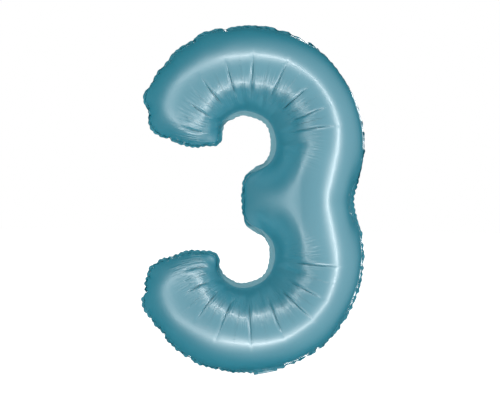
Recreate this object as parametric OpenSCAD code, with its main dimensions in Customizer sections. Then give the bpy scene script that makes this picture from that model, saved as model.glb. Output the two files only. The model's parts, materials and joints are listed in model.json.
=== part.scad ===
// Number balloon: an inflated numeral three made of two metallised films
// welded together round their edge, with an inflation tail and a flap valve.
// +Z up, front faces -Y, the weld lies in the plane Y = 0.
// The origin is under the middle of the numeral, at its lowest point.

/* [Numeral] */
// Radius of the weld line round each bowl's hole
hole_r = 59; // [50:1:62]
// Radius of the outer weld line round each bowl, over the top
rim_r = 216; // [206:1:226]
// How much further out the outer weld line runs at the spine
spine_swell = 4; // [0:0.5:8]
// How much the outer weld line is drawn in at the end of each arm
arm_tuck = 20; // [10:1:24]
// Height of each bowl's centre above and below the middle of the numeral
bowl_offset = 113; // [108:1:120]
// Sideways shift of both bowls from the middle of the numeral
bowl_shift = -18; // [-24:1:-12]
// Depth of the inflated tube, front to back
tube_depth = 164; // [130:1:170]
// Half width of the tube at the notch between the two bowls
notch_half_w = 75; // [70:1:78]
// Sideways place of the tube's centre at the notch
notch_x = 108; // [105:1:113]

/* [Films] */
// Thickness that stands for each film
film_t = 0.8; // [0.6:0.1:1]
// Width of the flat weld outside the weld line
weld_w = 10; // [6:0.5:12]

/* [Tail] */
// Angle round the lower bowl from straight down to the neck
neck_angle = 11; // [8:1:14]
// Width of the neck and of the tail
tail_w = 46; // [40:1:52]
// Width of the passage between the side welds of the tail
channel_w = 28; // [24:1:32]
// Depth of the passage in each film
channel_t = 0.6; // [0.5:0.05:0.8]
// Length of the tail from its fold to its mouth, along its curve
tail_len = 86; // [70:1:95]
// Radius to which the folded tail curls behind the numeral
tail_curl_r = 110; // [105:1:130]
// Diameter of the ribbon hole in the tail's side weld
ribbon_hole_d = 5; // [4:0.5:6]
// Distance of the ribbon hole from the tail's mouth
ribbon_hole_inset = 9; // [8:0.5:14]

/* [Valve] */
// Thickness of each valve film
valve_t = 0.3; // [0.2:0.05:0.35]
// Width of the valve films
valve_w = 26; // [22:1:27]
// Length of the valve flaps inside the numeral
flap_len = 95; // [60:1:110]
// Corner radius at the free end of the flaps
flap_corner_r = 6; // [3:1:10]
// Gap between the two valve films
valve_gap = 0.4; // [0.3:0.05:0.5]

/* [Hidden] */

// How far below the weld the tail is folded, and the gap between its hinge and the tail
fold_drop = 1.5;
joint_gap = 0.4;
tail_t = 2 * (film_t + channel_t);
neck_r = rim_r + weld_w + fold_drop;
tail_low_r = neck_r + joint_gap + tail_t;
base_drop = tail_low_r * cos(neck_angle) + tail_w / 2 * sin(neck_angle);
// Height of the plane that halves the numeral
mid_z = base_drop + bowl_offset;

// A station of a tube is [x, z, heading, half width, half depth]. The ring
// and the arm's end are seen from a bowl's centre, the rest from the middle.
tube_hd = tube_depth / 2;
tuck_angle = 110;
arm_angle = 160;
spine_angle = -20;
ring_steps = 22;

function outer_r(a) =
    rim_r + spine_swell * max(0, cos(a))
    - arm_tuck * pow(max(0, a - tuck_angle) / (arm_angle - tuck_angle), 2);

function ring_station(a, width = 1, depth = 1) =
    let (mid = (hole_r + outer_r(a)) / 2)
    [mid * cos(a), mid * sin(a), a + 90, width * (outer_r(a) - hole_r) / 2, depth * tube_hd];

ring = [for (i = [0:ring_steps])
    let (a = spine_angle + i * (arm_angle - spine_angle) / ring_steps)
    ring_station(a, 1, 1 - 0.12 * pow(max(0, a - tuck_angle) / (arm_angle - tuck_angle), 3))];
// The ring runs on past the spine, and its end is buried in the middle arm
ring_foot = [ring_station(-64, 0.35, 0.2), ring_station(-58, 0.7, 0.55),
             ring_station(-50, 0.95, 0.8), ring_station(-40, 1, 0.94),
             ring_station(-30, 1, 1)];
// The arm's rounded end, closing like the end of a pillow
arm_heading = 244;
arm_end = [for (p = [[-119, 29, 66, 0.77], [-123, 21, 61, 0.62],
                     [-129, 15, 52, 0.46], [-134, 11, 39, 0.3], [-137, 8, 20, 0.13]])
    [p[0], p[1], arm_heading, p[2], p[3] * tube_hd]];
arm = concat(ring_foot, ring, arm_end);
// Half of the spine between the two bowls, from inside a ring to the notch
spine_top = ring_station(-12, 0.99, 0.99);
spine = [[spine_top[0] + bowl_shift, spine_top[1] + bowl_offset, -90, spine_top[3], spine_top[4]],
         [notch_x, 0, -90, notch_half_w, tube_hd], [notch_x, -2, -90, notch_half_w, tube_hd]];
// Middle arm, from the spine to its rounded end
stub = [for (p = [[100, 80, 1], [70, 72, 0.92], [40, 61, 0.77], [16, 51, 0.62],
                  [-6, 41, 0.43], [-11, 35, 0.34], [-15, 23, 0.21], [-17, 10, 0.1]])
    [p[0], 0, 180, p[1], p[2] * tube_hd]];
rim_sides = 28;

// Tail, in the neck's own frame: its hinge is at y = fold_y, z = -neck_r, and
// fold_gap of bare fold lies between the hinge and the tail's stiff part
fold_y = tail_t / 2 + 0.3;
fold_gap = 2.2;
// Angle by which the valve films end short of the tail's mouth
valve_short = 1;
tail_sweep = tail_len / tail_curl_r * 180 / PI;
hole_sweep = (tail_len - ribbon_hole_inset) / tail_curl_r * 180 / PI;
hole_x = (tail_w + channel_w) / 4;
// How far up from the fold the neck runs, and how far inside the weld line the flaps begin
root_top = weld_w + fold_drop + 4;
flap_start = 4;
// A length that outruns the numeral, and how far a cut runs past what it cuts
beyond = 1000;
spare = 1;

film_colour = [0.36, 0.62, 0.69];
valve_colour = [0.85, 0.88, 0.88];

// Rim of one cross-section of a tube, drawn in by inset and pulled back by pull
function rim(s, inset, pull = 0) =
    [for (i = [0:rim_sides - 1])
        let (a = 360 * i / rim_sides, across = (s[3] - inset) * cos(a))
        [s[0] - across * sin(s[2]) - pull * cos(s[2]),
         (s[4] - inset) * sin(a),
         s[1] + across * cos(s[2]) - pull * sin(s[2])]];

// The rims of a list of cross-sections, the last one pulled back by inset
function rims(stations, inset) =
    let (last = len(stations) - 1)
    [for (i = [0:last]) rim(stations[i], inset, i == last ? inset : 0)];

// A curved tube swept through a list of cross-sections
module swept_tube(stations, inset) {
    last = len(stations) - 1;
    n = rim_sides;
    sides = [for (i = [0:last - 1], k = [0:n - 1])
        let (a = i * n + k, b = i * n + (k + 1) % n)
        each [[a, b, b + n], [a, b + n, a + n]]];
    caps = [[for (k = [n - 1:-1:0]) k], [for (k = [0:n - 1]) last * n + k]];
    polyhedron([for (r = rims(stations, inset)) each r], concat(sides, caps));
}

// A straight tube hulled from one cross-section to the next
module hulled_tube(stations, inset) {
    all_rims = rims(stations, inset);
    for (i = [1:len(stations) - 1])
        hull() polyhedron(concat(all_rims[i - 1], all_rims[i]), [[for (k = [0:2 * rim_sides - 1]) k]]);
}

module at_bowl() {
    translate([bowl_shift, 0, bowl_offset]) children();
}

// The space held by the upper half of the numeral
module upper_space(inset) {
    at_bowl() swept_tube(arm, inset);
    hulled_tube(spine, inset);
}

// The whole inflated space
module gas_space(inset) {
    translate([0, 0, mid_z]) {
        upper_space(inset);
        mirror([0, 0, 1]) upper_space(inset);
        hulled_tube(stub, inset);
    }
}

// Outline of the weld line
module flat_tube(stations) {
    for (i = [1:len(stations) - 1])
        polygon([for (end = [[i - 1, 1], [i - 1, -1], [i, -1], [i, 1]])
            let (s = stations[end[0]])
            [s[0] - end[1] * s[3] * sin(s[2]), s[1] + end[1] * s[3] * cos(s[2])]]);
}

module flat_upper() {
    translate([bowl_shift, bowl_offset]) flat_tube(arm);
    flat_tube(spine);
}

module weld_outline() {
    flat_upper();
    mirror([0, 1]) flat_upper();
    flat_tube(stub);
}

module weld_strip() {
    translate([0, 0, mid_z])
        rotate([90, 0, 0])
        linear_extrude(film_t)
        difference() {
            offset(r = weld_w, $fn = 32) weld_outline();
            offset(delta = -spare) weld_outline();
        }
}

// Places things in the neck's frame, with the lower bowl's centre as origin
module at_neck() {
    translate([bowl_shift, 0, mid_z - bowl_offset])
        rotate([0, -neck_angle, 0])
        children();
}

// One film: half of the skin, its weld strip and its half of the neck
module film_half() {
    difference() {
        union() {
            difference() {
                gas_space(0);
                translate([-beyond / 2, 0, -spare]) cube([beyond, beyond, beyond]);
            }
            weld_strip();
            at_neck()
                translate([-tail_w / 2, -tail_t / 2, -neck_r])
                cube([tail_w, tail_t / 2, root_top]);
        }
        gas_space(film_t);
        at_neck()
            translate([-channel_w / 2, -channel_t, -neck_r - spare])
            cube([channel_w, channel_t + spare, root_top + 4 * spare]);
    }
}

module front_panel() {
    color(film_colour) film_half();
}

module back_panel() {
    color(film_colour) mirror([0, 1, 0]) film_half();
}

// Sweeps a profile of [position along the fold, radius] round the tail's curl
module curl(sweep) {
    at_neck()
        translate([0, fold_y + fold_gap, tail_curl_r - neck_r - joint_gap])
        rotate([0, 90, 0])
        rotate_extrude(angle = sweep, $fn = 180)
        children();
}

// Half of the tail's stack, from its mid surface outwards or inwards
module tail_profile(side) {
    mid_r = tail_curl_r + tail_t / 2;
    translate([mid_r, 0])
        difference() {
            translate([side * tail_t / 4, 0])
                square([tail_t / 2, tail_w], center = true);
            square([2 * channel_t, channel_w], center = true);
        }
}

module ribbon_hole() {
    at_neck()
        translate([hole_x, fold_y + fold_gap, tail_curl_r - neck_r - joint_gap])
        rotate([hole_sweep, 0, 0])
        translate([0, 0, -tail_curl_r - tail_t - spare])
        cylinder(d = ribbon_hole_d, h = tail_t + 2 * spare, $fn = 48);
}

module tail_front() {
    color(film_colour)
        difference() {
            curl(tail_sweep) tail_profile(1);
            ribbon_hole();
        }
}

module tail_back() {
    color(film_colour)
        difference() {
            curl(tail_sweep) tail_profile(-1);
            ribbon_hole();
        }
}

module valve_tail(side) {
    color(valve_colour)
        curl(tail_sweep - valve_short)
        translate([tail_curl_r + tail_t / 2 + side * (valve_gap + valve_t) / 2, 0])
        square([valve_t, valve_w], center = true);
}

module valve_tail_front() {
    valve_tail(1);
}

module valve_tail_back() {
    valve_tail(-1);
}

module flap_outline() {
    hull() {
        translate([-valve_w / 2, 0]) square([valve_w, 1]);
        for (s = [-1, 1])
            translate([s * (valve_w / 2 - flap_corner_r), flap_len - flap_corner_r])
                circle(r = flap_corner_r, $fn = 32);
    }
}

module valve_flap(side) {
    color(valve_colour)
        at_neck()
        translate([0, side * valve_gap / 2, -rim_r + flap_start])
        rotate([90, 0, 0])
        translate([0, 0, side > 0 ? -valve_t : 0])
        linear_extrude(valve_t)
        flap_outline();
}

module valve_flap_front() {
    valve_flap(-1);
}

module valve_flap_back() {
    valve_flap(1);
}

front_panel();
back_panel();
tail_front();
tail_back();
valve_tail_front();
valve_tail_back();
valve_flap_front();
valve_flap_back();
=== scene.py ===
"""Looks of the number balloon: an inflated numeral three made of two metallised films.

The films are cut flat, welded round their edge, filled with gas and left to settle. Then their
small folds are combed, and the creases of the bowls and the scallops of the weld are sculpted.
"""
import json
import math

import bpy
import numpy as np
from mathutils import Matrix, Vector
from mathutils.geometry import delaunay_2d_cdt


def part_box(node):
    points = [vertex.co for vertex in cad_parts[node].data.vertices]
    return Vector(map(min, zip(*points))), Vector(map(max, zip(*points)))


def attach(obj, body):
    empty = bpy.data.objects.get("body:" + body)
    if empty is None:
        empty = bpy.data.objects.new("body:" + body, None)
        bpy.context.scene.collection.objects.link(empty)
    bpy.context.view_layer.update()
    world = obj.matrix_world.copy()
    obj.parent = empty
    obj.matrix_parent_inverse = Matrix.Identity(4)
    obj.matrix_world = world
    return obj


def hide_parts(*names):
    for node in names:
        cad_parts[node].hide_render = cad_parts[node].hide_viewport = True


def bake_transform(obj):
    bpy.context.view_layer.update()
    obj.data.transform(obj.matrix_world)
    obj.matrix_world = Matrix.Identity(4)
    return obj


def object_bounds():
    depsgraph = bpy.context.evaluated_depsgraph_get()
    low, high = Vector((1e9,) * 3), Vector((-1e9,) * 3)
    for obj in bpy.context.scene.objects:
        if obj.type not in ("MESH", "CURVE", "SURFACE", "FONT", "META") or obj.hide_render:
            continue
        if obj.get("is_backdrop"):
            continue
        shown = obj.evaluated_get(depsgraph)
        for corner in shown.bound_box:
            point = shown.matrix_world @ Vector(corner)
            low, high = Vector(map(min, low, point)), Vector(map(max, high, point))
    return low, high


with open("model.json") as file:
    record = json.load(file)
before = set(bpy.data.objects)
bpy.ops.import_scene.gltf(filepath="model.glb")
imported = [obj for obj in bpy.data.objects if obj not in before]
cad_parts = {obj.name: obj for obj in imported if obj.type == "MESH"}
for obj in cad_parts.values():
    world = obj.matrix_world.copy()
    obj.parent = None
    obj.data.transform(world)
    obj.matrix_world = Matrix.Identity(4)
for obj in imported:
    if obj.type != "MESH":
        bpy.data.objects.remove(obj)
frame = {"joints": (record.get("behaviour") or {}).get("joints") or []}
CAD_LOW, CAD_HIGH = (list(corner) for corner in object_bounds())

MM = 0.001
SEED = 3
WHITE = (1.0, 1.0, 1.0, 1)
# Added to what is divided by, so that it is never nothing
SMALL = 1e-9
TINY = 1e-12

# ---- Places in the CAD model ----
panel_low, panel_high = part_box("front_panel")
MIDDLE = Vector(((panel_low.x + panel_high.x) / 2, 0, (panel_low.z + panel_high.z) / 2))
joints = {joint["name"]: joint for joint in frame["joints"]}
HINGE = np.array(joints["tail_fold"]["pos_m"])
FLAP_HINGE = np.array(joints["flap_front_part"]["pos_m"])
# Along the tail's hinge, square to it in the plane of the weld, and backwards
ACROSS = np.array(joints["tail_fold"]["axis"])
UP = np.array([-ACROSS[2], 0, ACROSS[0]])
BACKWARD = np.array([0, 1, 0])

# ---- Flat pattern ----
# The weld line as it is cut, before the gas, as points on smooth curves: mm to the right of
# the numeral's middle and above it. Only the upper half is written; the lower is its mirror.
NOTCH = [(247, 0), (250, 24), (257, 52)]
OUTER_EDGE = [(261, 88), (261, 132), (252, 188), (230, 250), (191, 314), (130, 370), (54, 408),
              (-30, 423), (-100, 413), (-160, 385), (-204, 347), (-220, 309)]
ARM_END = [(-220, 309), (-223, 268), (-203, 229), (-168, 194), (-121, 172)]
BOWL_EDGE = [(-121, 172), (-84, 193), (-37, 194), (5, 166), (17, 125), (8, 87), (-17, 60),
             (-32, 47)]
MIDDLE_ARM = [(-32, 47), (-36, 24), (-36, 0)]
CURVE_STEPS = 40
OUTLINE_STEP = 0.5 * MM
# Points of the pattern nearer than this are one
MERGE_DISTANCE = 1e-7
CORNER_RADIUS = 9 * MM
# Width of the weld outside the weld line, at the outside of the numeral and in its bowls, and
# how far along the line it takes to change
OUTER_FLANGE = 7 * MM
BOWL_FLANGE = 12 * MM
FLANGE_EASE = 20 * MM
# The middle of the upper bowl
BOWL_CENTRE = np.array((-49, 125)) * MM

# ---- Films under gas ----
COARSE_SPACING = 24 * MM
# How near the weld, in spacings of the mesh, the film has no points of its own
WELD_CLEARANCE = 0.62
# How far each film stands off the middle plane at first, at RISE_REACH from the weld
FIRST_RISE = 20 * MM
RISE_REACH = 80 * MM
# How hard a film is to stretch, how many times harder the weld is, the pressure and the mass
STRETCH = 20.0
WELD_GAIN = 2.0
GAS = 1.0
MASS = 0.6
# Each level halves the mesh. slack is how hard a film pushes back when it is shortened, weld
# the same in the weld, bend how hard it is to bend, beam how hard the weld is to bend further.
LEVELS = [
    dict(steps=3500, damp=0.996, slack=0.1, weld=0.1, bend=1.0, beam=1.0),
    dict(steps=1500, damp=0.995, slack=0.2, weld=0.2, bend=0.2, beam=2.0),
    dict(steps=500, damp=0.985, slack=0.5, weld=0.5, bend=0.05, beam=0.5),
    dict(steps=400, damp=0.98, slack=1.2, weld=8.0, bend=0.02, beam=0.05),
]
# How uneven the film is made before each level, in spacings of its mesh
JITTER = 0.03

# ---- Folds, creases and scallops ----
# The comb: how much less it evens out the film across a bowl's radii than along them, how often
# and how far it moves the film, and how hard the film holds on to its place
COMB_TEETH = 6
COMB_STROKES = 40
COMB_SHARE = 0.6
COMB_GRIP = 0.1
# How far from the middle of a bowl the film is evened out across the radii too, and how far from
# the weld the comb begins to reach it
IRON_REACH = (125 * MM, 165 * MM)
LOOSE_FROM = (4 * MM, 20 * MM)
# Creases that fan out from each bowl: the turns of the first and last, how far out they begin,
# their lengths at given turns, and between which shares of these they vary
CREASE_TURNS = (0.03, 2.9)
CREASE_COUNT = 11
CREASE_JITTER = 0.04
CREASE_START = (102 * MM, 116 * MM)
CREASE_LENGTHS = ((0.0, 1.7, 2.2, 2.9), (120 * MM, 108 * MM, 75 * MM, 40 * MM))
CREASE_VARIATION = (0.8, 1.1)
CREASE_HALF = 3 * MM
CREASE_DEPTH = 2.2 * MM
# How far aside of a crease a point is that has none
FAR_AWAY = 1.0
# Scallops of the weld's edge: points of the weld in each, their depth, how much of it lies
# inside the plain edge, and how far the edge also swings forward and back
SCALLOP_POINTS = 4
SCALLOP_DEPTH = 2.4 * MM
SCALLOP_LEVEL = 0.5
SCALLOP_FOLD = 0.4
# The top edge is smoother: by how much, and between which heights this begins
SCALLOP_CALM = 0.75
SCALLOP_TOP = (300 * MM, 370 * MM)

# ---- Colours, gloss and texture ----
FOIL_COLOURS = [(0.3, (0.001, 0.235, 0.33, 1)), (0.75, (0.004, 0.25, 0.345, 1))]
FOIL_IOR = 2.1
FOIL_ROUGHNESS = (0.34, 0.40)
FOIL_COAT = 0.5
FOIL_COAT_ROUGHNESS = 0.2
WELD_COLOURS = (0.008, 0.19, 0.26, 1), (0.012, 0.25, 0.33, 1)
# Painted reflection: inside the bowls the weld is painted paler, standing in for the bright room it
# mirrors
PAINTED_BOWL_REFLECTION_COLOURS = (0.14, 0.34, 0.40, 1), (0.18, 0.40, 0.47, 1)
WELD_IOR = 1.4
WELD_ROUGHNESS = (0.45, 0.6)
# How far from the middle of a bowl the weld is dark, and from where inwards it is painted pale: a
# painted reflection of the bright room
PAINTED_REFLECTION_RING = (75 * MM, 70 * MM)
VALVE_COLOURS = [(0.3, (0.80, 0.84, 0.84, 1)), (0.8, (0.90, 0.92, 0.92, 1))]
VALVE_CLEAR = 0.35
VALVE_IOR = 1.45
VALVE_ROUGHNESS = (0.3, 0.5)
PAPER_COLOURS = [(0.0, (0.94, 0.94, 0.94, 1)), (1.0, (0.97, 0.97, 0.97, 1))]
PAPER_ROUGHNESS = 0.9
PAPER_GLOW = 0.25
# Noises: their scale and their detail
FOIL_CLOUDS = (9.0, 4.0)
CRINKLE = (70.0, 3.0)
CRINKLE_ROUGHNESS = 0.55
GRAIN = (2500.0, 1.0)
PLEATS = (46.0, 2.0)
WELD_CLOUDS = (60.0, 3.0)
VALVE_LINES = (240.0, 3.0)
PAPER_SPECKS = (40.0, 2.0)
KNURL_SCALE = 320.0
# Bumps: their strength and their height
CRINKLE_BUMP = (0.25, 0.25 * MM)
GRAIN_BUMP = (0.12, 0.02 * MM)
KNURL_BUMP = (0.6, 0.1 * MM)
VALVE_BUMP = (0.3, 0.05 * MM)
# Fine pleats: the rings round the middle of a bowl where they fade in and out, the turn at which
# they begin, how slowly they change along a radius, and their height
PLEAT_START = (95 * MM, 125 * MM)
PLEAT_END = (150 * MM, 200 * MM)
PLEAT_TURN = (-0.55, -0.2)
PLEAT_STRETCH = (1, 0.4, 0.4)
PLEAT_DEPTH = 2.2 * MM
# The sharp bottom of a crease: half its width and its depth
CREASE_LINE = 1.8 * MM
CREASE_SHARP = 2 * MM

# ---- Thickness, tail and valve ----
# Real film is about 0.05 mm; this much makes each one a solid that can be drawn
FILM_THICKNESS = 0.2 * MM
TAIL_THICKNESS = 0.15 * MM
VALVE_THICKNESS = 0.1 * MM
STRIP_SPACING = 2 * MM
# Where the weld lies flat: half the neck's width, its height above the hinge, and how far
# outside this the weld takes to become flat
NECK_HALF = 23 * MM
NECK_TOP = 12 * MM
NECK_EASE = 12 * MM
# The tail begins above its hinge, is folded back below it and curls up behind the numeral
ROOT_LENGTH = 9 * MM
FOLD_DEPTH = 1.8 * MM
FOLD_REACH = 3.9 * MM
FOLD_LENGTH = 5 * MM
# Radius of the curl's middle, and of its inside, on which the length of the tail is measured
CURL_RADIUS = 111.4 * MM
CURL_INSIDE = 110 * MM
TAIL_LENGTH = 86 * MM
TAIL_END = TAIL_LENGTH + FOLD_LENGTH
# Points along the root, the fold and the curl
TAIL_STEPS = (10, 12, 60)
# The passage between the tail's welds: half its width, how far each film stands off there, and
# how far from the hinge it takes to open
CHANNEL_HALF = 14 * MM
CHANNEL_RISE = 0.9 * MM
CHANNEL_EASE = 20 * MM
TAIL_GAP = 0.15 * MM
# Waves across the tail, which lean
RIPPLE_RISE = 0.25 * MM
RIPPLE_PITCH = 5 * MM
RIPPLE_LEAN = 3
# The hole's place across and along the tail and its radius, the points round it, and how far
# outside it, in spacings of the strip, the strip's other points begin
RIBBON_HOLE = (18.5 * MM, 77 * MM, 2.5 * MM)
HOLE_POINTS = 24
HOLE_CLEARANCE = 0.3
# The valve's films: half their width, how far they start and end inside the tail, and how much
# of the passage's rise they follow
VALVE_HALF = 13 * MM
VALVE_START = 6 * MM
VALVE_SHORT = 1 * MM
VALVE_SHARE = 0.4
# Their free ends in the numeral: length, rounded corners, and how they lie apart and wave
FLAP_LENGTH = 95 * MM
FLAP_CORNER = 6 * MM
FLAP_GAP = 0.25 * MM
FLAP_WAVE = 0.6 * MM
FLAP_PITCH = 7 * MM

# ---- Camera, lights and stage ----
# How far the camera is from the place it aims at: in front, to the side and up. How wide the
# view is there, and where that place is: to the side, and below the numeral's middle
CAMERA_DISTANCE = 2.4
CAMERA_SIDE = -0.17
CAMERA_RISE = 0.014
CAMERA_ROLL = math.radians(0.6)
SENSOR_WIDTH = 36
FRAME_WIDTH = 0.9685
AIM_SIDE = -0.009
AIM_DROP = 0.001
# Strips of light round the line of sight, RING_ANGLE degrees off it: degrees round from the
# right, width and power
RING_DISTANCE = 2.0
RING_LENGTH = 1.23
RING_ANGLE = 48
RING = {
    "right": (0, 0.07, 12), "upper_right": (45, 0.07, 8),
    "top": (90, 0.07, 10), "upper_left": (135, 0.3, 5.5),
    "left": (180, 0.5, 5), "lower_left": (225, 0.3, 5.5),
    "low": (270, 0.09, 12), "lower_right": (315, 0.07, 8),
}
# The same behind the numeral, nearer the line of sight so that they don't glint at its edges
BACK_RING = {"back_right": 0, "back_top": 90, "back_left": 180, "back_low": 270}
BACK_ANGLE = 150
BACK_WIDTH = 0.15
BACK_POWER = 7
# The numeral hangs clear of the floor, with room under it for the tail to hang down
FLOOR_DROP = 100 * MM
FLOOR_HALF = 12.0
# How bright the room is where the film mirrors it: in front of the numeral and behind it. It
# changes along the axis, between two places on it.
ROOM_FRONT = 0.85
ROOM_BACK = 0.0
ROOM_AXIS = (-0.85, 1, 0)
ROOM_TURN = (-0.9, 0.05)


# ---- Cutting the pattern ----
def smooth_curve(points):
    """Catmull-Rom curve through points in mm, without its last point. Its ends are corners."""
    p = np.array(points, float) * MM
    p = np.vstack([2 * p[0] - p[1], p, 2 * p[-1] - p[-2]])
    t = np.linspace(0, 1, CURVE_STEPS, endpoint=False)[:, None]
    return np.vstack([0.5 * (2 * b + (c - a) * t + (2 * a - 5 * b + 4 * c - d) * t**2
                             + (3 * b - a - 3 * c + d) * t**3)
                      for a, b, c, d in zip(p, p[1:], p[2:], p[3:])])


def mirrored(points):
    return [(x, -z) for x, z in reversed(points)]


def evenly_spaced(line, spacing):
    """A closed line cut into equal steps of about spacing."""
    closed = np.vstack([line, line[:1]])
    along = np.r_[0, np.cumsum(np.linalg.norm(np.diff(closed, axis=0), axis=1))]
    at = np.linspace(0, along[-1], round(along[-1] / spacing), endpoint=False)
    return np.stack([np.interp(at, along, closed[:, k]) for k in range(2)], 1)


def smoothed(values, length):
    """Values along the outline, each one the mean of those within length of it."""
    reach = round(length / OUTLINE_STEP)
    span = range(-reach, reach + 1)
    return sum(np.roll(values, k, axis=0) for k in span) / len(span)


def pattern_outline():
    """The closed weld line of the flat pattern, counter-clockwise, with its corners rounded."""
    side = NOTCH + OUTER_EDGE
    runs = [mirrored(side)[:-1] + side, ARM_END, BOWL_EDGE,
            MIDDLE_ARM[:-1] + mirrored(MIDDLE_ARM), mirrored(BOWL_EDGE), mirrored(ARM_END)]
    line = evenly_spaced(np.vstack([smooth_curve(run) for run in runs]), OUTLINE_STEP)
    for _ in range(2):
        line = smoothed(line, CORNER_RADIUS)
    return line


def flange_widths(line):
    """Width of the flange at each point of the outline, wide in the bowls."""
    in_bowl = nearest(line, smooth_curve(BOWL_EDGE))[1] < OUTLINE_STEP
    in_bowl |= in_bowl[nearest(line * [1, -1], line)[0]]
    return OUTER_FLANGE + (BOWL_FLANGE - OUTER_FLANGE) * smoothed(in_bowl * 1.0, FLANGE_EASE)


def outward(line):
    run = np.roll(line, -1, 0) - np.roll(line, 1, 0)
    normal = np.stack([run[:, 1], -run[:, 0]], 1)
    return normal / np.linalg.norm(normal, axis=1, keepdims=True)


def nearest(points, line):
    """The place on line nearest to each point, and its distance."""
    found = [((p - line) ** 2).sum(1) for p in points]
    return np.array([f.argmin() for f in found]), np.sqrt([f.min() for f in found])


def inside(points, line):
    x, z = points[:, :1], points[:, 1:]
    (x1, z1), (x2, z2) = line.T, np.roll(line, -1, 0).T
    crossed = ((z1 > z) != (z2 > z)) & (x < (x2 - x1) * (z - z1) / (z2 - z1 + TINY) + x1)
    return crossed.sum(1) % 2 == 1


def triangulated(points, loop, mode):
    """Triangles between flat points, with the edges of loop among theirs. In mode 1 only what is
    inside the loop is kept."""
    flat, _, tris, *_ = delaunay_2d_cdt([Vector(p) for p in points], loop, [], mode,
                                        MERGE_DISTANCE)
    return np.array([tuple(p) for p in flat]), np.array(tris)


def pattern_mesh(outline, spacing):
    """Triangles that fill the outline: flat points, the weld's first, and triangles."""
    weld = evenly_spaced(outline, spacing)
    low, high = weld.min(0), weld.max(0)
    grid = []
    for k, z in enumerate(np.arange(low[1], high[1], spacing * math.sqrt(3) / 2)):
        grid += [(x, z) for x in np.arange(low[0] + (k % 2) * spacing / 2, high[0], spacing)]
    grid = np.array(grid)
    grid = grid[inside(grid, weld)]
    grid = grid[nearest(grid, weld)[1] > WELD_CLEARANCE * spacing]
    rim = [(i, (i + 1) % len(weld)) for i in range(len(weld))]
    flat, tris = triangulated(np.vstack([weld, grid]), rim, 1)
    a, b, c = (flat[tris[:, k]] for k in range(3))
    turned = (b - a)[:, 0] * (c - a)[:, 1] < (b - a)[:, 1] * (c - a)[:, 0]
    tris[turned] = tris[turned][:, ::-1]
    return flat, tris, len(weld)


# ---- Filling the films ----
def edges_of(tris):
    """The edges of triangles, and which three belong to each triangle."""
    sides = np.concatenate([tris[:, [0, 1]], tris[:, [1, 2]], tris[:, [2, 0]]])
    pairs = np.sort(sides, axis=1)
    size = int(tris.max()) + 1
    keys, inverse = np.unique(pairs[:, 0] * size + pairs[:, 1], return_inverse=True)
    return np.stack([keys // size, keys % size], 1), inverse.reshape(3, -1).T


def gathered(values, places, count):
    """The sum of the vectors that go to each of count places."""
    return np.stack([np.bincount(places, values[:, k], count) for k in range(3)], 1)


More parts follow.
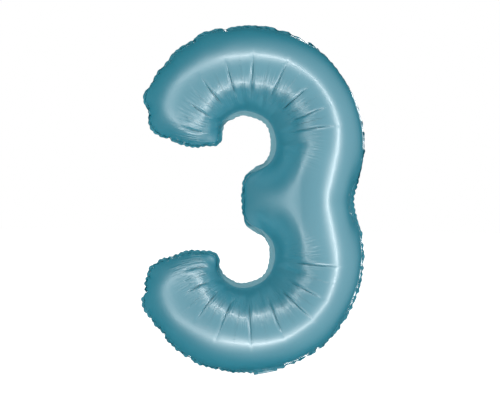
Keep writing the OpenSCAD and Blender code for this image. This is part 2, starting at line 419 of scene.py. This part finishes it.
class Envelope:
    """Two films welded round their edge. flat is where each point lies in the cut pattern,
    out how far across the flange it is, from 0 to 1, and at where it is now."""

    def __init__(self, spacing):
        self.outline = pattern_outline()
        self.flange = outward(self.outline) * flange_widths(self.outline)[:, None]
        sheet, tris, n = pattern_mesh(self.outline, spacing)
        count = len(sheet)
        self.weld = np.arange(n)
        back = np.r_[self.weld, np.arange(count, 2 * count - n)]
        self.lip = 2 * count - n + self.weld
        following = np.roll(self.weld, -1)
        self.front, self.back = tris, back[tris][:, ::-1]
        self.strip = np.concatenate([np.stack([self.weld, self.lip, self.lip[following]], 1),
                                     np.stack([self.weld, self.lip[following], following], 1)])
        self.flat = np.concatenate([sheet, sheet[n:], sheet[:n]])
        self.out = np.r_[np.zeros(2 * count - n), np.ones(n)]
        self.follow_outline()
        rise = FIRST_RISE * np.sqrt(nearest(sheet, sheet[:n])[1] / RISE_REACH)
        self.at = np.insert(self.flat, 1, np.r_[-rise, rise[n:], np.zeros(n)], axis=1)

    def follow_outline(self):
        """Puts the weld and its flange exactly on the cut line, which a coarse mesh cuts across."""
        edge = self.out > 0
        edge[self.weld] = True
        place, _ = nearest(self.flat[edge], self.outline)
        self.flat[edge] = self.outline[place] + self.flange[place] * self.out[edge, None]

    def halve(self):
        """Splits every triangle in four."""
        tris = np.concatenate([self.front, self.back, self.strip])
        edges, sides = edges_of(tris)
        middle = len(self.at) + sides
        (a, b, c), (ab, bc, ca) = tris.T, middle.T
        parts = [np.stack(t, 1) for t in ((a, ab, ca), (ab, b, bc), (ca, bc, c), (ab, bc, ca))]
        cut = np.cumsum([len(self.front), len(self.back)])
        groups = zip(*[np.split(part, cut) for part in parts])
        self.front, self.back, self.strip = (np.concatenate(group) for group in groups)
        number = {pair: k for k, pair in enumerate(map(tuple, edges.tolist()))}
        for name in ("weld", "lip"):
            loop = getattr(self, name)
            pairs = np.sort(np.stack([loop, np.roll(loop, -1)], 1), axis=1)
            middles = len(self.at) + np.array([number[tuple(pair)] for pair in pairs.tolist()])
            setattr(self, name, np.stack([loop, middles], 1).ravel())
        for name in ("flat", "out", "at"):
            value = getattr(self, name)
            setattr(self, name, np.concatenate([value, value[edges].mean(1)]))
        self.follow_outline()

    def settle(self, steps, damp, slack, weld, bend, beam):
        """Moves the films under gas pressure. A film hardly stretches, gives way when it is
        shortened, and resists bending."""
        edges, _ = edges_of(np.concatenate([self.front, self.back, self.strip]))
        n = len(self.at)
        i, j = edges.T
        ends = np.r_[i, j]
        length = np.linalg.norm(self.flat[i] - self.flat[j], axis=1)
        hard = self.out > 0
        hard[self.weld] = True
        hard = hard[i] & hard[j]
        pull = np.where(hard, WELD_GAIN * STRETCH, STRETCH)
        push = np.where(hard, weld, slack)
        share = 1 / np.bincount(ends, minlength=n)[:, None]
        rim = np.r_[self.weld, self.lip]
        # A point's mass grows with how stiffly it is held, so that the steps stay stable
        weight = np.bincount(ends, np.r_[pull, pull], n) + 2 * bend
        weight[rim] += 6 * beam
        step = 1 / (MASS * weight)[:, None]
        loops = []
        for loop in (self.weld, self.lip):
            flat = self.flat[loop]
            bow = np.roll(flat, 1, 0) + np.roll(flat, -1, 0) - 2 * flat
            loops.append((loop, np.linalg.norm(bow, axis=1)))
        a, b, c = np.concatenate([self.front, self.back]).T
        corners = np.r_[a, b, c]
        at, before = self.at, self.at.copy()
        for _ in range(steps):
            curve = gathered(np.concatenate([at[j], at[i]]), ends, n) * share - at
            curve[rim] = 0
            turn = bend * share * curve
            apart = at[j] - at[i]
            now = np.sqrt(np.einsum("ij,ij->i", apart, apart))
            along = (np.where(now > length, pull, push) * (1 - length / now))[:, None] * apart
            # The cross product is twice a triangle's area, which its three corners share
            press = np.cross(at[b] - at[a], at[c] - at[a]) * (GAS / 6)
            force = (gathered(np.concatenate([along - turn[j], -along - turn[i]]), ends, n)
                     + bend * curve + gathered(np.tile(press, (3, 1)), corners, n))
            for loop, rest in loops:
                bow = np.roll(at[loop], 1, 0) + np.roll(at[loop], -1, 0) - 2 * at[loop]
                size = np.linalg.norm(bow, axis=1) + SMALL
                bow *= np.maximum(1 - rest / size, 0)[:, None]
                force[loop] += beam * (2 * bow - np.roll(bow, 1, 0) - np.roll(bow, -1, 0))
            at, before = at + (at - before) * damp + force * step, at
        self.at = at


def inflated():
    envelope = Envelope(COARSE_SPACING)
    random = np.random.default_rng(SEED)
    spacing = COARSE_SPACING
    for number, level in enumerate(LEVELS):
        if number:
            envelope.halve()
            spacing /= 2
        envelope.at[:, 1] += random.normal(0, JITTER * spacing, len(envelope.at))
        envelope.settle(**level)
    return envelope


# ---- Combing and sculpting ----
def eased(value, low, high):
    """0 below low, 1 above high and smooth between."""
    t = np.clip((value - low) / (high - low), 0, 1)
    return t * t * (3 - 2 * t)


def combed(envelope):
    """Where the film's points lie once its small folds run straight along the bowls' radii, as
    film does that is pulled tight, and fade out away from the bowls and before the weld."""
    edges, _ = edges_of(np.concatenate([envelope.front, envelope.back]))
    i, j = edges.T
    flat, at, n = envelope.flat, envelope.at.copy(), len(envelope.at)
    spoke = (flat[i] + flat[j]) / 2
    spoke = np.stack([spoke[:, 0], np.abs(spoke[:, 1])], 1) - BOWL_CENTRE
    along = flat[j] - flat[i]
    along[:, 1] *= np.sign(flat[i, 1] + flat[j, 1] + SMALL)
    reach = np.linalg.norm(spoke, axis=1)
    radial = np.abs((spoke * along).sum(1)) / (reach * np.linalg.norm(along, axis=1))
    weight = radial ** COMB_TEETH
    weight += (1 - weight) * eased(reach, *IRON_REACH)
    weight = np.r_[weight, weight][:, None]
    ends = np.r_[i, j]
    loose = eased(nearest(flat, flat[envelope.weld])[1], *LOOSE_FROM)[:, None]
    total = np.bincount(ends, weight[:, 0], n)[:, None] + COMB_GRIP
    for _ in range(COMB_STROKES):
        pull = np.concatenate([at[j] - at[i], at[i] - at[j]]) * weight
        at += COMB_SHARE * loose / total * gathered(pull, ends, n)
    return at


def creases(flat):
    """How far aside of the nearest crease of its bowl each point of the pattern is, and how deep
    the crease is there, from 0 to 1."""
    random = np.random.default_rng(SEED)
    offset, depth = np.full(len(flat), FAR_AWAY), np.zeros(len(flat))
    for bowl in (1, -1):
        local = flat * (1, bowl) - BOWL_CENTRE
        for turn in np.linspace(*CREASE_TURNS, CREASE_COUNT):
            turn += random.normal(0, CREASE_JITTER)
            start = random.uniform(*CREASE_START)
            length = np.interp(turn, *CREASE_LENGTHS) * random.uniform(*CREASE_VARIATION)
            lean = turn + random.normal(0, CREASE_JITTER)
            from_foot = local - start * np.array((math.cos(turn), math.sin(turn)))
            along = from_foot @ (math.cos(lean), math.sin(lean))
            aside = from_foot @ (-math.sin(lean), math.cos(lean))
            nearer = (flat[:, 1] * bowl > 0) & (along > -start / 2)
            nearer &= np.abs(aside) < np.abs(offset)
            offset[nearer] = aside[nearer]
            # It deepens over its first quarter and fades out over its second half
            deep = eased(along, 0, length / 4) * (1 - eased(along, length / 2, length))
            depth[nearer] = deep[nearer]
    return offset, depth


def scalloped(envelope, at):
    """Pulls the edge of the weld in at even steps, as the puckers do where it isn't pulled flat
    in a bowl, so that it runs in scallops."""
    outline = pattern_outline()
    weld_count = len(envelope.weld)
    count = round(weld_count / SCALLOP_POINTS)
    rim = np.flatnonzero(envelope.out)
    place, _ = nearest(envelope.flat[rim], outline)
    along = place / len(outline)
    number = (along * weld_count).round().astype(int) % weld_count
    away = at[envelope.lip[number]] - at[envelope.weld[number]]
    away /= np.linalg.norm(away, axis=1, keepdims=True) + SMALL
    loose = (BOWL_FLANGE - flange_widths(outline)) / (BOWL_FLANGE - OUTER_FLANGE)
    loose *= 1 - SCALLOP_CALM * eased(outline[:, 1], *SCALLOP_TOP)
    lobe = np.abs(np.sin(math.pi * count * along)) - SCALLOP_LEVEL
    fold = np.sin(2 * math.pi * count * along)
    size = (SCALLOP_DEPTH * loose[place] * envelope.out[rim])[:, None]
    moved = at.copy()
    moved[rim] += size * (lobe[:, None] * away + SCALLOP_FOLD * fold[:, None] * BACKWARD)
    return moved


def placed(envelope, offset, depth):
    """The films' points in the frame of the part, sculpted, with the weld flat at the neck."""
    at = combed(envelope)
    a, b, c = np.concatenate([envelope.front, envelope.back]).T
    facing = np.cross(at[b] - at[a], at[c] - at[a])
    normal = gathered(np.tile(facing, (3, 1)), np.r_[a, b, c], len(at))
    normal /= np.linalg.norm(normal, axis=1, keepdims=True) + TINY
    at -= normal * (CREASE_DEPTH * depth * np.exp(-(offset / CREASE_HALF)**2))[:, None]
    at = scalloped(envelope, at)
    at[:, 0] += MIDDLE.x - (at[:, 0].min() + at[:, 0].max()) / 2
    at[:, 2] += MIDDLE.z - (at[:, 2].min() + at[:, 2].max()) / 2
    sideways, height = (at - HINGE) @ ACROSS, (at - HINGE) @ UP
    near = np.clip((NECK_HALF + NECK_EASE - np.abs(sideways)) / NECK_EASE, 0, 1)
    near *= np.clip((NECK_TOP + NECK_EASE - height) / NECK_EASE, 0, 1)
    near *= (envelope.out > 0)
    at[:, 1] *= 1 - near
    return at


# ---- Materials ----
def new_material(name, **settings):
    """A Principled material; settings are the values of its sockets."""
    material = bpy.data.materials.new(name)
    material.use_nodes = True
    tree = material.node_tree
    shader = tree.nodes["Principled BSDF"]
    for socket, value in settings.items():
        shader.inputs[socket.replace("_", " ")].default_value = value
    return material, tree, shader


def feed(tree, node, **sources):
    """Links each source to the input of that name."""
    for name, source in sources.items():
        tree.links.new(source, node.inputs[name.replace("_", " ")])


def add(tree, kind, settings=(), **inputs):
    """A node; inputs are values or the sockets that feed it, by name or as _number."""
    made = tree.nodes.new(kind)
    for name, value in dict(settings).items():
        setattr(made, name, value)
    for name, value in inputs.items():
        socket = made.inputs[int(name[1:]) if name[0] == "_" else name.replace("_", " ")]
        if isinstance(value, bpy.types.NodeSocket):
            tree.links.new(value, socket)
        else:
            socket.default_value = value
    return made


def calculated(tree, operation, *values):
    inputs = {f"_{k}": value for k, value in enumerate(values)}
    return add(tree, "ShaderNodeMath", {"operation": operation}, **inputs).outputs[0]


def ranged(tree, value, start, end, low=0.0, high=1.0, kind="LINEAR"):
    """Maps start to end onto low to high, and stays at these beyond."""
    return add(tree, "ShaderNodeMapRange", {"interpolation_type": kind}, _0=value, _1=start,
               _2=end, _3=low, _4=high).outputs[0]


def noise(tree, texture, settings=(), **inputs):
    scale, detail = texture
    return add(tree, "ShaderNodeTexNoise", settings, Scale=scale, Detail=detail,
               **inputs).outputs["Fac"]


def coloured(tree, value, stops):
    """The colour at value; stops are the two places and colours it lies between."""
    ramp = add(tree, "ShaderNodeValToRGB", Fac=value)
    for stop, (place, colour) in zip(ramp.color_ramp.elements, stops):
        stop.position, stop.color = place, colour
    return ramp.outputs[0]


def mixed(tree, share, first, second):
    return add(tree, "ShaderNodeMix", {"data_type": "RGBA"}, _0=share, _6=first,
               _7=second).outputs[2]


def bumped(tree, height, strength, distance, **normal):
    return add(tree, "ShaderNodeBump", Strength=strength, Distance=distance, Height=height,
               **normal).outputs[0]


def on_pattern(tree):
    """The place in the flat pattern."""
    return add(tree, "ShaderNodeUVMap", {"uv_map": "pattern"}).outputs[0]


def bowl_polar(tree, cut):
    """Where a point of the pattern lies round the middle of its bowl: its turn, its height in the
    pattern and its distance."""
    across, along, _ = add(tree, "ShaderNodeSeparateXYZ", Vector=cut).outputs
    across = calculated(tree, "SUBTRACT", across, BOWL_CENTRE[0])
    upward = calculated(tree, "SUBTRACT", calculated(tree, "ABSOLUTE", along), BOWL_CENTRE[1])
    turn = calculated(tree, "ARCTAN2", upward, across)
    spread = add(tree, "ShaderNodeCombineXYZ", _0=across, _1=upward).outputs[0]
    reach = add(tree, "ShaderNodeVectorMath", {"operation": "LENGTH"}, _0=spread)
    return turn, along, reach.outputs["Value"]


def bowl_pleats(tree, cut):
    """Fine lines that fan out from the middle of each bowl, and where on the film they are."""
    turn, along, reach = bowl_polar(tree, cut)
    place = add(tree, "ShaderNodeCombineXYZ", _0=turn, _1=reach, _2=along).outputs[0]
    place = add(tree, "ShaderNodeVectorMath", {"operation": "MULTIPLY"}, _0=place,
                _1=PLEAT_STRETCH).outputs[0]
    lines = noise(tree, PLEATS, Vector=place)
    where = ranged(tree, turn, *PLEAT_TURN)
    for ring, low, high in ((PLEAT_START, 0.0, 1.0), (PLEAT_END, 1.0, 0.0)):
        fade = ranged(tree, reach, *ring, low, high, "SMOOTHSTEP")
        where = calculated(tree, "MULTIPLY", where, fade)
    return lines, where


def sharp_creases(tree):
    """The bottom of each crease, finer than the mesh can hold it, and where on the film it is."""
    offset, depth = (add(tree, "ShaderNodeAttribute", {"attribute_name": name}).outputs["Fac"]
                     for name in ("crease_offset", "crease_depth"))
    aside = calculated(tree, "ABSOLUTE", offset)
    edge = ranged(tree, aside, 0.0, CREASE_LINE, kind="SMOOTHSTEP")
    return calculated(tree, "MULTIPLY", edge, depth), depth


def foil_material():
    """Satin metallised film: slightly uneven colour and gloss, fine crinkles and creases."""
    material, tree, shader = new_material(
        "satin_foil", IOR=FOIL_IOR, Coat_Weight=FOIL_COAT, Coat_Roughness=FOIL_COAT_ROUGHNESS)
    cut = on_pattern(tree)
    pleats, pleated = bowl_pleats(tree, cut)
    line, folded = sharp_creases(tree)
    clouds = noise(tree, FOIL_CLOUDS, Vector=cut)
    crinkle = noise(tree, CRINKLE, {"noise_type": "RIDGED_MULTIFRACTAL"}, Vector=cut,
                    Roughness=CRINKLE_ROUGHNESS)
    fan = bumped(tree, pleats, pleated, PLEAT_DEPTH)
    fold = bumped(tree, line, folded, CREASE_SHARP, Normal=fan)
    soft = bumped(tree, crinkle, *CRINKLE_BUMP, Normal=fold)
    feed(tree, shader, Base_Color=coloured(tree, clouds, FOIL_COLOURS),
         Roughness=ranged(tree, clouds, 0.0, 1.0, *FOIL_ROUGHNESS),
         Normal=bumped(tree, noise(tree, GRAIN, Vector=cut), *GRAIN_BUMP, Normal=soft))
    return material


def weld_material():
    """The flat weld, duller than the film, pressed with a fine diagonal knurl. Inside the bowls,
    where it is wide and lies flat, it is painted paler: a painted reflection of the bright room."""
    material, tree, shader = new_material("pressed_weld", IOR=WELD_IOR)
    cut = on_pattern(tree)
    *_, reach = bowl_polar(tree, cut)
    # Inside the bowls the weld takes the paler colours, a painted reflection of the bright room
    painted_reflection_share = ranged(tree, reach, *PAINTED_REFLECTION_RING)
    clouds = noise(tree, WELD_CLOUDS, Vector=cut)
    shades = [mixed(tree, clouds, *pair) for pair in (WELD_COLOURS, PAINTED_BOWL_REFLECTION_COLOURS)]
    knurl = add(tree, "ShaderNodeTexWave", {"bands_direction": "DIAGONAL"}, Vector=cut,
                Scale=KNURL_SCALE).outputs["Fac"]
    feed(tree, shader, Base_Color=mixed(tree, painted_reflection_share, *shades),
         Roughness=ranged(tree, clouds, 0.0, 1.0, *WELD_ROUGHNESS),
         Normal=bumped(tree, knurl, *KNURL_BUMP))
    return material


def valve_material():
    """Milky plastic film with faint draw lines."""
    material, tree, shader = new_material(
        "milky_film", Transmission_Weight=VALVE_CLEAR, IOR=VALVE_IOR)
    place = add(tree, "ShaderNodeTexCoord").outputs["Object"]
    lines = noise(tree, VALVE_LINES, Vector=place)
    feed(tree, shader, Base_Color=coloured(tree, lines, VALVE_COLOURS),
         Roughness=ranged(tree, lines, 0.0, 1.0, *VALVE_ROUGHNESS),
         Normal=bumped(tree, lines, *VALVE_BUMP))
    return material


def paper_material():
    """White paper, slightly uneven, with a glow of its own that keeps it white."""
    material, tree, shader = new_material(
        "white_paper", Roughness=PAPER_ROUGHNESS, Specular_IOR_Level=0.0,
        Emission_Color=WHITE, Emission_Strength=PAPER_GLOW)
    feed(tree, shader, Base_Color=coloured(tree, noise(tree, PAPER_SPECKS), PAPER_COLOURS))
    return material


# ---- Making pieces ----
def film(name, points, tris, pattern, materials, thickness, welded=(), **marks):
    """A smooth film through points; pattern is where each point lies in the flat cut, welded says
    which triangles take the second material, and marks are values at its points for a material."""
    used, faces = np.unique(tris, return_inverse=True)
    mesh = bpy.data.meshes.new(name)
    mesh.from_pydata(points[used].tolist(), [], faces.reshape(-1, 3).tolist())
    mesh.shade_smooth()
    for material in materials:
        mesh.materials.append(material)
    if len(welded):
        mesh.polygons.foreach_set("material_index", np.asarray(welded, np.int32))
    layer = mesh.uv_layers.new(name="pattern")
    layer.data.foreach_set("uv", pattern[used][faces.ravel()].astype(np.float32).ravel())
    for mark, values in marks.items():
        layer = mesh.attributes.new(mark, "FLOAT", "POINT")
        layer.data.foreach_set("value", values[used].astype(np.float32))
    piece = bpy.data.objects.new(name, mesh)
    bpy.context.scene.collection.objects.link(piece)
    skin = piece.modifiers.new("thickness", "SOLIDIFY")
    skin.thickness, skin.offset = thickness, 1
    return piece


def tail_path():
    """The middle of the folded tail from its root on the numeral to its mouth, as how far it is
    behind the weld plane and above the hinge."""
    root_steps, fold_steps, curl_steps = TAIL_STEPS
    root = [(0, h) for h in np.linspace(ROOT_LENGTH, 0, root_steps, endpoint=False)]
    t = np.linspace(0, 1, fold_steps, endpoint=False)
    fold = [(FOLD_REACH * k**2, -FOLD_DEPTH * (1 - (1 - k)**2)) for k in t]
    sweep = np.linspace(0, TAIL_LENGTH / CURL_INSIDE, curl_steps)
    curl = [(FOLD_REACH + CURL_RADIUS * math.sin(a), CURL_RADIUS * (1 - math.cos(a)) - FOLD_DEPTH)
            for a in sweep]
    return np.array(root + fold + curl)


def strip_mesh(half_width, start, end, hole=None):
    """Flat triangles of a strip, across and along, with or without a round hole."""
    columns = np.linspace(-half_width, half_width, round(2 * half_width / STRIP_SPACING) + 1)
    rows = np.linspace(start, end, round((end - start) / STRIP_SPACING) + 1)
    grid = np.array([(u, v) for v in rows for u in columns])
    if not hole:
        return triangulated(grid, [], 0)
    middle, radius = hole[:2], hole[2]
    away = np.linalg.norm(grid - middle, axis=1)
    grid = grid[away > radius + HOLE_CLEARANCE * STRIP_SPACING]
    turn = np.linspace(0, 2 * math.pi, HOLE_POINTS, endpoint=False)
    ring = middle + radius * np.stack([np.cos(turn), np.sin(turn)], 1)
    loop = [(len(grid) + k, len(grid) + (k + 1) % HOLE_POINTS) for k in range(HOLE_POINTS)]
    flat, tris = triangulated(np.vstack([grid, ring]), loop, 0)
    centres = flat[tris].mean(1)
    return flat, tris[np.linalg.norm(centres - middle, axis=1) > radius]


def on_tail(flat, side, share):
    """Lays a flat strip along the tail, on the side away from its curl (1) or inside it (-1)."""
    path = tail_path()
    along = np.r_[0, np.cumsum(np.linalg.norm(np.diff(path, axis=0), axis=1))] - ROOT_LENGTH
    run = np.gradient(path, along, axis=0)
    run /= np.linalg.norm(run, axis=1, keepdims=True)
    across, down = flat.T
    place = np.stack([np.interp(down, along, path[:, k]) for k in range(2)], 1)
    out = np.stack([np.interp(down, along, run[:, 1]), -np.interp(down, along, run[:, 0])], 1)
    free = np.clip(down / CHANNEL_EASE, 0, 1)
    rise = CHANNEL_RISE * np.clip(1 - (across / CHANNEL_HALF)**2, 0, 1) * free
    ripple = RIPPLE_RISE * free * np.sin(down / RIPPLE_PITCH + RIPPLE_LEAN * across / NECK_HALF)
    place = place + out * (side * (share * rise + TAIL_GAP) + ripple)[:, None]
    return HINGE * [1, 0, 1] + flat[:, :1] * ACROSS + place[:, :1] * BACKWARD + place[:, 1:] * UP


def softbox(name, off_axis, clock, width, power):
    """A strip of light that faces the numeral's middle, off_axis degrees away from straight in
    front and clock degrees round from the right, lying along the ring it is part of. It is there
    for its reflection: the even light of the room does the rest."""
    off_axis, clock = math.radians(off_axis), math.radians(clock)
    aside = Vector((math.cos(clock), 0, math.sin(clock)))
    away = aside * math.sin(off_axis) - Vector((0, math.cos(off_axis), 0))
    along = Vector((-math.sin(clock), 0, math.cos(clock)))
    data = bpy.data.lights.new(name, "AREA")
    data.shape, data.size, data.size_y, data.energy = "RECTANGLE", width, RING_LENGTH, power
    lamp = bpy.data.objects.new(name, data)
    bpy.context.scene.collection.objects.link(lamp)
    lamp.matrix_world = (Matrix.Translation(MIDDLE + away * RING_DISTANCE)
                         @ Matrix((along.cross(away), along, away)).transposed().to_4x4())
    lamp.visible_camera = False
    lamp.visible_diffuse = False


# ---- Pieces ----
foil = foil_material()
weld = weld_material()
milky = valve_material()

envelope = inflated()
offset, depth = creases(envelope.flat)
points = placed(envelope, offset, depth)
welded = np.r_[np.zeros(len(envelope.front)), np.ones(len(envelope.strip))]
for name, node, sheet, strip in (
        ("front_film", "front_panel", envelope.front, envelope.strip),
        ("back_film", "back_panel", envelope.back, envelope.strip[:, ::-1])):
    piece = film(name, points, np.concatenate([sheet, strip]), envelope.flat, (foil, weld),
                 FILM_THICKNESS, welded, crease_offset=offset, crease_depth=depth)
    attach(piece, "balloon")
    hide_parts(node)
for name, node, side in (("tail_front_film", "tail_front", 1),
                         ("tail_back_film", "tail_back", -1)):
    flat, tris = strip_mesh(NECK_HALF, -ROOT_LENGTH, TAIL_END, RIBBON_HOLE)
    welded = np.abs(flat[tris, 0]).min(1) >= CHANNEL_HALF
    piece = film(name, on_tail(flat, side, 1.0), tris[:, ::side], flat, (foil, weld),
                 TAIL_THICKNESS, welded)
    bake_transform(piece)
    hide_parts(node)
for name, node, side in (("valve_front_strip", "valve_tail_front", 1),
                         ("valve_back_strip", "valve_tail_back", -1)):
    flat, tris = strip_mesh(VALVE_HALF, VALVE_START, TAIL_END - VALVE_SHORT)
    piece = film(name, on_tail(flat, side, VALVE_SHARE), tris[:, ::side], flat, (milky,),
                 VALVE_THICKNESS)
    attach(piece, "tail")
    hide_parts(node)
for name, node, body, side in (("valve_front_flap", "valve_flap_front", "flap_front", -1),
                               ("valve_back_flap", "valve_flap_back", "flap_back", 1)):
    flat, tris = strip_mesh(VALVE_HALF, 0, FLAP_LENGTH)
    corner = np.clip((np.abs(flat[:, 0]) - VALVE_HALF + FLAP_CORNER) / FLAP_CORNER, 0, 1)
    flat[:, 1] -= FLAP_CORNER * (1 - np.sqrt(1 - corner**2)) * flat[:, 1] / FLAP_LENGTH
    wave = FLAP_WAVE * (flat[:, 1] / FLAP_LENGTH) * (1 + np.sin(flat[:, 1] / FLAP_PITCH))
    wave = side * (FLAP_GAP + wave)
    at = FLAP_HINGE + flat[:, :1] * ACROSS + wave[:, None] * BACKWARD + flat[:, 1:] * UP
    piece = film(name, at, tris[:, ::-side], flat, (milky,), VALVE_THICKNESS)
    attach(piece, body)
    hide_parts(node)

# ---- Camera, lights and stage ----
camera_data = bpy.data.cameras.new("camera")
camera_data.sensor_width = SENSOR_WIDTH
camera_data.lens = SENSOR_WIDTH * CAMERA_DISTANCE / FRAME_WIDTH
camera = bpy.data.objects.new("camera", camera_data)
bpy.context.scene.collection.objects.link(camera)
aim = Vector((AIM_SIDE, 0, MIDDLE.z - AIM_DROP))
camera.location = aim + Vector((CAMERA_SIDE, -CAMERA_DISTANCE, CAMERA_RISE))
camera.rotation_euler = (aim - camera.location).to_track_quat("-Z", "Y").to_euler()
camera.rotation_euler.rotate_axis("Z", CAMERA_ROLL)
bpy.context.scene.camera = camera

for name, (clock, width, power) in RING.items():
    softbox(name + "_softbox", RING_ANGLE, clock, width, power)
for name, clock in BACK_RING.items():
    softbox(name + "_softbox", BACK_ANGLE, clock, BACK_WIDTH, BACK_POWER)

floor_mesh = bpy.data.meshes.new("floor")
floor_corners = [(FLOOR_HALF * x, FLOOR_HALF * y, 0)
                 for x, y in ((-1, -1), (1, -1), (1, 1), (-1, 1))]
floor_mesh.from_pydata(floor_corners, [], [(0, 1, 2, 3)])
floor_mesh.materials.append(paper_material())
floor = bpy.data.objects.new("floor", floor_mesh)
bpy.context.scene.collection.objects.link(floor)
floor.location.z = CAD_LOW[2] - FLOOR_DROP
floor.visible_glossy = False
floor.visible_shadow = False
floor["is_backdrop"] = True

world = bpy.data.worlds.new("studio")
world.use_nodes = True
bpy.context.scene.world = world
tree = world.node_tree
direction = add(tree, "ShaderNodeTexCoord").outputs["Generated"]
backward = add(tree, "ShaderNodeVectorMath", {"operation": "DOT_PRODUCT"}, _0=direction,
               _1=ROOM_AXIS).outputs["Value"]
room = ranged(tree, backward, *ROOM_TURN, ROOM_FRONT, ROOM_BACK, "SMOOTHSTEP")
by_mirror = add(tree, "ShaderNodeLightPath").outputs["Is Glossy Ray"]
feed(tree, tree.nodes["Background"], Color=mixed(tree, by_mirror, WHITE, room))
# Sampled as a lamp, the world would count as white where the film mirrors it
world.cycles.sampling_method = "NONE"
bpy.context.scene.view_settings.view_transform = "Standard"
